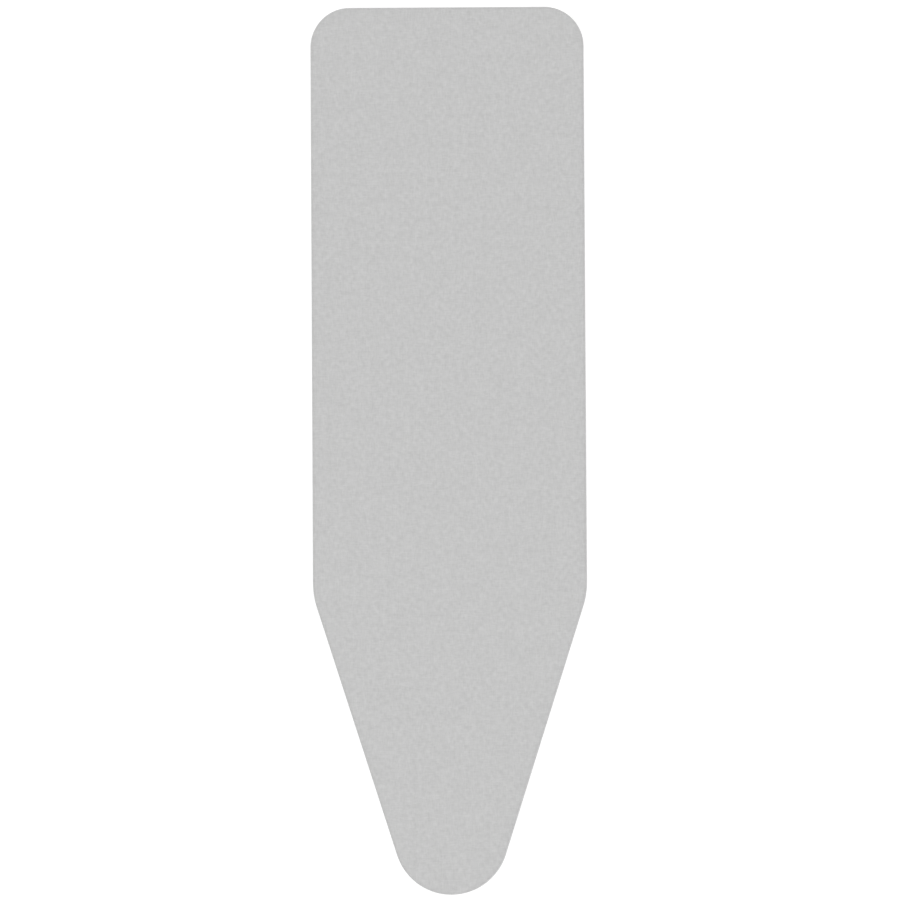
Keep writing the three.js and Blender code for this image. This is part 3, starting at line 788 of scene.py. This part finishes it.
def outwards(made):
    """Turns a closed mesh's faces outwards."""
    shape = bmesh.new()
    shape.from_mesh(made.data)
    bmesh.ops.remove_doubles(shape, verts=shape.verts, dist=1e-7)
    bmesh.ops.recalc_face_normals(shape, faces=shape.faces)
    shape.to_mesh(made.data)
    shape.free()
    return made


def turned(name, profile, axis="x", middle=(0, 0, 0), steps=ROUND_STEPS, squeeze=(1, 1)):
    """A solid turned about the x or y axis from its profile, pairs of place on the axis and radius."""
    angles = np.linspace(0, math.tau, steps, endpoint=False)
    rings = []
    for place, radius in profile[1:-1]:
        a, b = squeeze[0] * radius * np.cos(angles), squeeze[1] * radius * np.sin(angles)
        rings.append(np.column_stack([np.full(steps, place), a, b]))
    points = np.vstack([*rings, (profile[0][0], 0, 0), (profile[-1][0], 0, 0)])
    if axis == "y":
        points = points[:, [1, 0, 2]]
    first, last = len(points) - 2, (len(rings) - 1) * steps
    faces = ring_faces(len(rings), steps)
    faces += [(first, (i + 1) % steps, i) for i in range(steps)]
    faces += [(first + 1, last + i, last + (i + 1) % steps) for i in range(steps)]
    return outwards(mesh_object(name, points + np.array(middle), faces))


def slot_tool(half_width, middle):
    """A bar along y with rounded corners, to cut the cords' slot with."""
    section = []
    for quarter, (sx, sz) in enumerate(((1, 1), (-1, 1), (-1, -1), (1, -1))):
        for turn in np.linspace(quarter, quarter + 1, 6) * math.pi / 2:
            x = sx * (half_width - SLOT_CORNER) + SLOT_CORNER * math.cos(turn)
            section.append((x, sz * (SLOT_HEIGHT - SLOT_CORNER) + SLOT_CORNER * math.sin(turn)))
    ends = [[(x, y, z) for x, z in section] for y in (-SLOT_LENGTH / 2, SLOT_LENGTH / 2)]
    return outwards(tube("slot", np.array(ends) + np.array(middle)))


def cut(made, tools):
    """The solid without the tools' space."""
    for tool in tools:
        change = made.modifiers.new("cut", "BOOLEAN")
        change.operation, change.solver, change.object = "DIFFERENCE", "EXACT", tool
    result = mesh_of(made, made.name)
    for tool in tools:
        bpy.data.objects.remove(tool)
    return result


def smoothed(made, sharp=32):
    """Smooth faces, with the edges that turn by more than so many degrees left sharp."""
    made.data.polygons.foreach_set("use_smooth", [True] * len(made.data.polygons))
    made.data.set_sharp_from_angle(angle=math.radians(sharp))
    return made


def plastic_finish(name, tone, grain=2600.0):
    """Moulded nylon with a fine spark-eroded grain, a little duller where it is handled."""
    made = Finish(name, 0.45)
    place = made.place()
    speck = made.noise(place, grain)
    wear = made.noise(place, 180.0)
    made.shades(speck * 0.5 + wear * 0.5, tone, 0.8, 1.2)
    made.set("Roughness", 0.38 + wear * 0.2)
    made.relief(speck, 0.00004)
    return made.material


lock_place = (0, LOCK_Y, HEM_LEVEL)
barrel_profile = [(LOCK_BACK, 0)]
for a in np.radians([90, 60, 30, 0]):
    back = LOCK_BACK + BACK_ROUNDING * (1 - math.sin(a))
    barrel_profile.append((back, LOCK_RADIUS - BACK_ROUNDING * (1 - math.cos(a))))
for middle in GROOVES:
    barrel_profile += [(middle + place, LOCK_RADIUS + step) for place, step in GROOVE_SHAPE]
barrel_profile += [(LOCK_FRONT + place, LOCK_RADIUS + step) for place, step in BARREL_LIP]
barrel_profile += [(LOCK_FRONT + place, LOCK_BORE + step) for place, step in BORE_EDGE]
barrel_profile += [(BORE_BACK + 0.0003, LOCK_BORE), (BORE_BACK, LOCK_BORE - 0.0003), (BORE_BACK, 0)]
barrel = turned("lock_barrel", barrel_profile, middle=lock_place)
barrel = smoothed(cut(barrel, [slot_tool(SLOT_X, lock_place)]))
lock_plastic = plastic_finish("grey_nylon", LOCK_GREY)
barrel.data.materials.append(lock_plastic)
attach(barrel, "cord_lock")
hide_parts("cord_lock_barrel")

dome = [
    (HEAD_FRONT - DOME_DEPTH * (1 - math.sin(a)), HEAD_RADIUS - DOME_WIDTH * (1 - math.cos(a)))
    for a in np.radians([0, 25, 50, 75])
]
button = turned("lock_button", [*BUTTON_STEM, *dome, *BUTTON_DIMPLE], middle=lock_place)
slot_middle = (PRESS / 2, LOCK_Y, HEM_LEVEL)
button = smoothed(cut(button, [slot_tool(SLOT_X + PRESS / 2, slot_middle)]))
button.data.materials.append(plastic_finish("button_nylon", LOCK_GREY, 2200.0))
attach(button, "lock_plunger")
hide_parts("cord_lock_plunger")


# Lock spring. Four turns of drawn spring wire between the barrel's closed end and the button, which
# it pushes out. It is squashed as the button is pressed.
SPRING_RADIUS, SPRING_WIRE, SPRING_TURNS = 0.0024, 0.0003, 4
SPRING_BACK, SPRING_FRONT = -0.01295, -0.00685
SPRING_STEPS, WIRE_SIDES = 28, 10


def steel_finish(name, tone, rough, grain):
    """Bright metal with fine drawing marks along it and a few duller patches."""
    made = Finish(name, rough, 1.0)
    place = made.place()
    marks = made.noise(made.stretched(place, grain), 1.0, 3.0, 0.6)
    dull = made.noise(place, 140.0, 3.0)
    made.shades(marks * 0.6 + dull * 0.4, tone, 0.86, 1.08)
    made.set("Roughness", rough - 0.08 + marks * 0.08 + dull * 0.12)
    made.relief(marks, 0.00002)
    return made.material


share = np.linspace(0, 1, SPRING_TURNS * SPRING_STEPS + 1)
coil = share * SPRING_TURNS * math.tau
coil_x = SPRING_BACK + (SPRING_FRONT - SPRING_BACK) * share
radial = np.column_stack([np.zeros(len(coil)), np.cos(coil), np.sin(coil)])
wire = np.linspace(0, math.tau, WIRE_SIDES, endpoint=False)
coil_middle = np.column_stack([coil_x, np.full(len(coil), LOCK_Y), np.full(len(coil), HEM_LEVEL)])
spring_points = (
    coil_middle[:, None]
    + radial[:, None] * (SPRING_RADIUS + SPRING_WIRE * np.cos(wire))[:, None]
    + np.array([1, 0, 0]) * (SPRING_WIRE * np.sin(wire))[:, None]
)
spring = outwards(tube("lock_spring", spring_points))
spring.data.materials.append(steel_finish("spring_wire", (0.60, 0.60, 0.61), 0.3, (400.0, 400.0, 400.0)))
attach(spring, "cord_lock")
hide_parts("cord_lock_spring")
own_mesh(spring)


# Cord stopper. A flattened moulded bell, pressed onto the two cord ends so that the lock can't come
# off. Each end sits in a bore of its own.
STOPPER_MOUTH = 0.52095
STOPPER_LENGTH = 0.014
STOPPER_RADIUS = 0.0049
STOPPER_SQUEEZE = (1.15, 0.9)
STOPPER_BORE = 0.0018
STOPPER_SHARES = (
    (0, -1), (0.30, -1), (0.48, -0.985), (0.62, -0.955), (0.74, -0.90), (0.84, -0.80),
    (0.91, -0.66), (0.955, -0.50), (0.985, -0.30), (1, -0.16), (0.93, -0.145), (0.93, -0.115),
    (1, -0.10), (0.995, -0.03), (0.95, -0.005), (0.88, 0), (0, 0),
)
stopper_profile = [(place * STOPPER_LENGTH, radius * STOPPER_RADIUS) for radius, place in STOPPER_SHARES]
stopper_place = (0, STOPPER_MOUTH, HEM_LEVEL)
stopper = turned("bell_stopper", stopper_profile, "y", stopper_place, squeeze=STOPPER_SQUEEZE)
bore_end, bore_mouth = CORD_END_Y - 0.0003, STOPPER_MOUTH + 0.001
bore_profile = [(bore_end, 0), (bore_end, STOPPER_BORE), (bore_mouth, STOPPER_BORE), (bore_mouth, 0)]
bores = [turned("bore", bore_profile, "y", (x, 0, HEM_LEVEL), 28) for x in (-CORD_APART, CORD_APART)]
stopper = smoothed(cut(stopper, bores))
stopper.data.materials.append(lock_plastic)
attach(stopper, "root")
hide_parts("cord_stopper")


# Tension straps. 25 mm elastic webbing, woven round rows of rubber, pulls the two sides together under
# the board. Each end is folded round a clip's bar and sewn back on itself with a crossed box.
WEBBING_HALF = 0.0125
WEBBING = 0.0012
WEBBING_RIBS = 16
RIB_STEPS, RIB_DEPTH = 6, 0.00016
LAYER = 0.00075
BAR_BEHIND = 0.020
LOOP_RADIUS = 0.0024
LOOP_NECK = 0.007
STRAP_TAIL = 0.028
STRAP_ROWS = 56
STRAP_THREAD = 0.0003
BOX_NEAR, BOX_FAR, BOX_HALF = 0.002, 0.003, 0.0095


def half_width(y):
    return HALF_SHOULDER - (y - SHOULDER_Y) * (HALF_SHOULDER - HALF_HEEL) / (HALF_LENGTH - SHOULDER_Y)


def strap_line(bar_x):
    """The webbing's middle line, from its tail round the bar to the other clip, as x and z."""
    neck = math.atan2(LAYER, -LOOP_NECK) - math.acos(LOOP_RADIUS / math.hypot(LOOP_NECK, LAYER))
    loop = round_points(0, LOOP_RADIUS, np.linspace(-neck, neck, 25))
    tail = [np.array([x, -LAYER]) for x in np.linspace(-LOOP_NECK - STRAP_TAIL, -LOOP_NECK, 9)]
    right = np.array(tail + loop + [np.array([-LOOP_NECK, LAYER])]) + np.array([bar_x, HEM_LEVEL])
    left = right[::-1] * np.array([-1, 1])
    start, end = right[-1], left[0]
    span = [start + (end - start) * share for share in np.linspace(0, 1, STRAP_ROWS)[1:-1]]
    return np.vstack([right, span, left])


def strap_section():
    """The webbing across, as place across it and height, with a rib for each row of rubber."""
    steps = WEBBING_RIBS * RIB_STEPS
    across = np.linspace(-WEBBING_HALF + 0.0004, WEBBING_HALF - 0.0004, steps + 1)
    ribs = WEBBING / 2 - RIB_DEPTH * (1 - np.abs(np.sin(np.pi * np.arange(steps + 1) / RIB_STEPS))) ** 2
    top = np.column_stack([across, ribs])
    near, third = WEBBING_HALF - 0.0001, WEBBING * 0.32
    edge = np.array([[near, third], [WEBBING_HALF, 0], [near, -third]])
    return np.vstack([top, edge, top[::-1] * np.array([1, -1]), edge[::-1] * np.array([-1, 1])])


def elastic_finish():
    """Woven elastic: pale polyester yarn, short crosswise picks over each row of rubber."""
    made = Finish("woven_elastic", 0.82)
    across, along, _ = made.parts(made.uv())
    row = 2 * WEBBING_HALF / WEBBING_RIBS
    picks = (along * (math.tau / 0.0011) + (across * (math.tau / row)).sine() * 1.2).sine()
    fuzz = made.noise(made.stretched(made.uv(), (2500.0, 900.0, 1.0)), 1.0)
    height = picks * 0.3 + 0.35 + fuzz * 0.3
    made.tones(height, (0.50, 0.50, 0.485), (0.83, 0.83, 0.81))
    made.relief(height, 0.00018)
    return made.material


elastic = elastic_finish()
strap_thread = thread_finish("strap_thread", (0.36, 0.36, 0.37))
section = strap_section()
for place, strap_y in zip(("rear", "front"), CLIP_PLACES):
    bar_x = half_width(strap_y) - HEM_INSET - BAR_BEHIND
    line = strap_line(bar_x)
    strap_points = swept(line, section[:, 1], strap_y + section[:, 0])
    strap = tube(place + "_elastic_strap", strap_points[:, :, [0, 2, 1]])
    give_uv(strap, [(a, s) for s in run_along(line) for a in section[:, 0]])
    outwards(strap)
    strap.data.materials.append(elastic)
    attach(strap, "root")
    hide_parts(place + "_tension_strap")

    near, far, wide = -LOOP_NECK - BOX_NEAR, -LOOP_NECK - STRAP_TAIL + BOX_FAR, BOX_HALF
    crossed_box = [(near, -wide), (near, wide), (far, wide), (far, -wide), (near, -wide), (far, wide)]
    crossed_box += [(far, -wide), (near, wide)]
    lift = LAYER + WEBBING / 2 + STRAP_THREAD * 0.4
    box_lines = [
        np.array([(side * (bar_x + u), strap_y + v, HEM_LEVEL + face * lift) for u, v in crossed_box])
        for side in (-1, 1)
        for face in (-1, 1)
    ]
    box_seam = sewn(place + "_strap_stitches", box_lines, strap_thread, 0.0027, 0.0023, STRAP_THREAD, 7)
    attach(box_seam, "root")


# Clips. Each one is a frame pressed from 1.2 mm nickel-plated steel, with a bar for the strap and a
# jaw over the casing, and a lever on a riveted pin that closes under the casing.
PIN_BEHIND = 0.007
PIN_RADIUS, PIN_HEAD = 0.0012, 0.0020
PIN_INSIDE, PIN_OUTSIDE = 0.0144, 0.0152
PIN_HEAD_SHAPE = ((0, 0), (0, 0.0009), (0.00015, 0.0015), (0.0005, PIN_HEAD))
KNUCKLE, PIN_HOLE = 0.0024, 0.0014
LEVER_PLATE = 0.0014
LEVER_HALF = 0.0127
LEVER_REACH = 0.012
HEEL_RADIUS = 0.0006
JAW_REACH, JAW_OUTSIDE, JAW_TOP = 0.0042, 0.0056, 0.0034
GRIP_PLACES = (0.0070, 0.0084, 0.0098)
GRIP_RADIUS = 0.00038
FRAME_ROUNDING, EDGE_ROUNDING = 0.00018, 0.00016


def softened(made, width):
    """The solid with its edges rounded."""
    edge = made.modifiers.new("rounded edges", "BEVEL")
    edge.width, edge.segments, edge.limit_method = width, 2, "ANGLE"
    edge.angle_limit, edge.harden_normals = math.radians(34), True
    return mesh_of(smoothed(made, 180), made.name)


def clip_origin(clip_y, side):
    """The ground under the casing's middle, at a clip's middle line."""
    return Vector((side * (half_width(clip_y) - HEM_INSET), clip_y, 0))


def frame_copy(name):
    """The front right clip frame's solid, with its flat faces whole, at the clip's origin."""
    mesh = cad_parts["front_right_clip_frame"].data.copy()
    mesh.transform(Matrix.Translation(-clip_origin(CLIP_PLACES[1], 1)))
    shape = bmesh.new()
    shape.from_mesh(mesh)
    bmesh.ops.remove_doubles(shape, verts=shape.verts, dist=2e-6)
    bmesh.ops.dissolve_limit(shape, angle_limit=math.radians(1), verts=shape.verts, edges=shape.edges)
    shape.to_mesh(mesh)
    shape.free()
    mesh.materials.clear()
    return scene_object(name, mesh)


def lever_outline():
    """The lever's side, as reach from the casing's middle and height, and the pin's hole in it."""
    web = -PIN_BEHIND - KNUCKLE + LEVER_PLATE
    start = math.pi + math.acos((-PIN_BEHIND - web) / KNUCKLE)
    heel = (-PIN_BEHIND - KNUCKLE + HEEL_RADIUS, HEEL_RADIUS)
    points = round_points(heel, HEEL_RADIUS, np.radians([180, 202, 225, 247, 270]))
    grip = np.array(round_points(0, GRIP_RADIUS, np.radians([180, 145, 110, 70, 35, 0]))) * (1, 0.8)
    for place in GRIP_PLACES:
        points += list(grip + (place, 0))
    tip = (LEVER_REACH - LEVER_PLATE / 2, LEVER_PLATE / 2)
    points += round_points(tip, LEVER_PLATE / 2, np.radians(np.linspace(-90, 90, 9)))
    jaw = [(JAW_OUTSIDE, LEVER_PLATE), (JAW_OUTSIDE, JAW_TOP), (JAW_REACH, JAW_TOP)]
    points += [*jaw, (JAW_REACH, LEVER_PLATE), (web, LEVER_PLATE)]
    pin = (-PIN_BEHIND, HEM_LEVEL)
    points += round_points(pin, KNUCKLE, np.linspace(start, 3 * math.pi, 28))
    return points, round_points(pin, PIN_HOLE, np.linspace(0, math.tau, 24, endpoint=False))


def plate_between(name, outlines, half):
    """A flat outline with its holes, made as thick as given each way, with rounded edges."""
    curve = bpy.data.curves.new(name, "CURVE")
    curve.dimensions, curve.fill_mode = "2D", "BOTH"
    curve.extrude = half - EDGE_ROUNDING
    curve.bevel_depth, curve.bevel_resolution, curve.offset = EDGE_ROUNDING, 1, -EDGE_ROUNDING
    for points in outlines:
        spline = curve.splines.new("POLY")
        spline.points.add(len(points) - 1)
        spline.points.foreach_set("co", np.array([(x, y, 0, 1) for x, y in points]).ravel())
        spline.use_cyclic_u = True
    return mesh_of(scene_object(name, curve), name)


nickel = steel_finish("nickel_plate", (0.50, 0.49, 0.47), 0.24, (900.0, 60.0, 900.0))
pin_profile = [(place - PIN_OUTSIDE, radius) for place, radius in PIN_HEAD_SHAPE]
pin_profile += [(-PIN_INSIDE, PIN_HEAD), (-PIN_INSIDE, PIN_RADIUS)]
pin_profile += [(-place, radius) for place, radius in reversed(pin_profile)]
plate = softened(frame_copy("clip_plate"), FRAME_ROUNDING)
flap = plate_between("clip_flap", lever_outline(), LEVER_HALF)
flap.data.transform(Matrix.Rotation(math.pi / 2, 4, "X"))
outwards(flap)
rivet = turned("clip_rivet", pin_profile, "y", (-PIN_BEHIND, 0, HEM_LEVEL), 32)
patterns = {
    "frame": ("plate", plate),
    "lever": ("flap", smoothed(flap, 40)),
    "pin": ("rivet", smoothed(rivet, 50)),
}
for _, pattern in patterns.values():
    pattern.data.materials.append(nickel)
for place, clip_y in zip(("rear", "front"), CLIP_PLACES):
    for hand, side in (("left", -1), ("right", 1)):
        clip, body = f"{place}_{hand}_clip", f"{place}_{hand}_lever"
        here = Matrix.Translation(clip_origin(clip_y, side)) @ Matrix.Diagonal((side, side, 1, 1))
        for node, (word, pattern) in patterns.items():
            mesh = pattern.data.copy()
            mesh.transform(here)
            piece = scene_object(f"{clip}_{word}", mesh)
            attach(piece, body if node == "lever" else "root")
            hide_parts(f"{clip}_{node}")
for _, pattern in patterns.values():
    bpy.data.objects.remove(pattern)


# Light table and camera. The cover lies on a white acrylic sheet that is lit through from below, under
# plain soft light from above. The camera looks straight down on it, turned by a third of a degree.
FRAME_WIDTH = 1.2593
CAMERA_TURN = -0.0056
CAMERA_SHIFT = (0.00105, 0.0015)
TABLE_CORNERS = ((-4, -4), (4, -4), (4, 4), (-4, 4))
TABLE_LEVEL = -0.0002
SKY = 0.812
LAMPS = (
    ("key", 24, -35, 0.42),
    ("fill", 30, 145, 0.23),
    ("below from the nose", 120, 40, 0.72),
    ("below from the heel", 120, -140, 0.42),
)

camera_data = bpy.data.cameras.new("camera")
camera_data.lens, camera_data.sensor_width = 85, 36
camera_data.clip_start, camera_data.clip_end = 0.1, 100
camera = scene_object("camera", camera_data)
camera_height = COVER_TOP + FRAME_WIDTH * camera_data.lens / camera_data.sensor_width
camera.location = (*CAMERA_SHIFT, camera_height)
camera.rotation_euler = (0, 0, CAMERA_TURN)
scene.camera = camera
scene.view_settings.view_transform = "Standard"

table = mesh_object("light_table", lifted(TABLE_CORNERS, TABLE_LEVEL), [(0, 1, 2, 3)])
acrylic = Finish("white_acrylic", 0.9)
shows = acrylic.seen() * (1 - acrylic.node("ShaderNodeNewGeometry", output="Backfacing"))
glow = acrylic.node("ShaderNodeEmission", {"Color": (1, 1, 1, 1), "Strength": 0.6})
face = acrylic.node("ShaderNodeBsdfDiffuse", {"Color": (0.55, 0.55, 0.55, 1)})
lit = acrylic.node("ShaderNodeAddShader", {0: glow, 1: face})
clear = acrylic.node("ShaderNodeBsdfTransparent")
sheet = acrylic.node("ShaderNodeMixShader", {0: shows, 1: clear, 2: lit})
acrylic.join(acrylic.tree.nodes["Material Output"].inputs["Surface"], sheet)
table.data.materials.append(acrylic.material)

world = bpy.data.worlds.new("studio")
world.use_nodes = True
scene.world = world
air = Nodes(world.node_tree)
air.tree.nodes.clear()
plain = air.node("ShaderNodeBackground", {"Color": (1, 1, 1, 1), "Strength": SKY})
white = air.node("ShaderNodeBackground", {"Color": (1, 1, 1, 1), "Strength": 1.0})
sky = air.node("ShaderNodeMixShader", {0: air.seen(), 1: plain, 2: white})
air.node("ShaderNodeOutputWorld", {"Surface": sky})

for name, tilt, turn, energy in LAMPS:
    lamp = bpy.data.lights.new(name, "SUN")
    lamp.energy = energy
    lamp.angle = math.radians(35)
    scene_object(name, lamp).rotation_euler = (math.radians(tilt), 0, math.radians(turn))
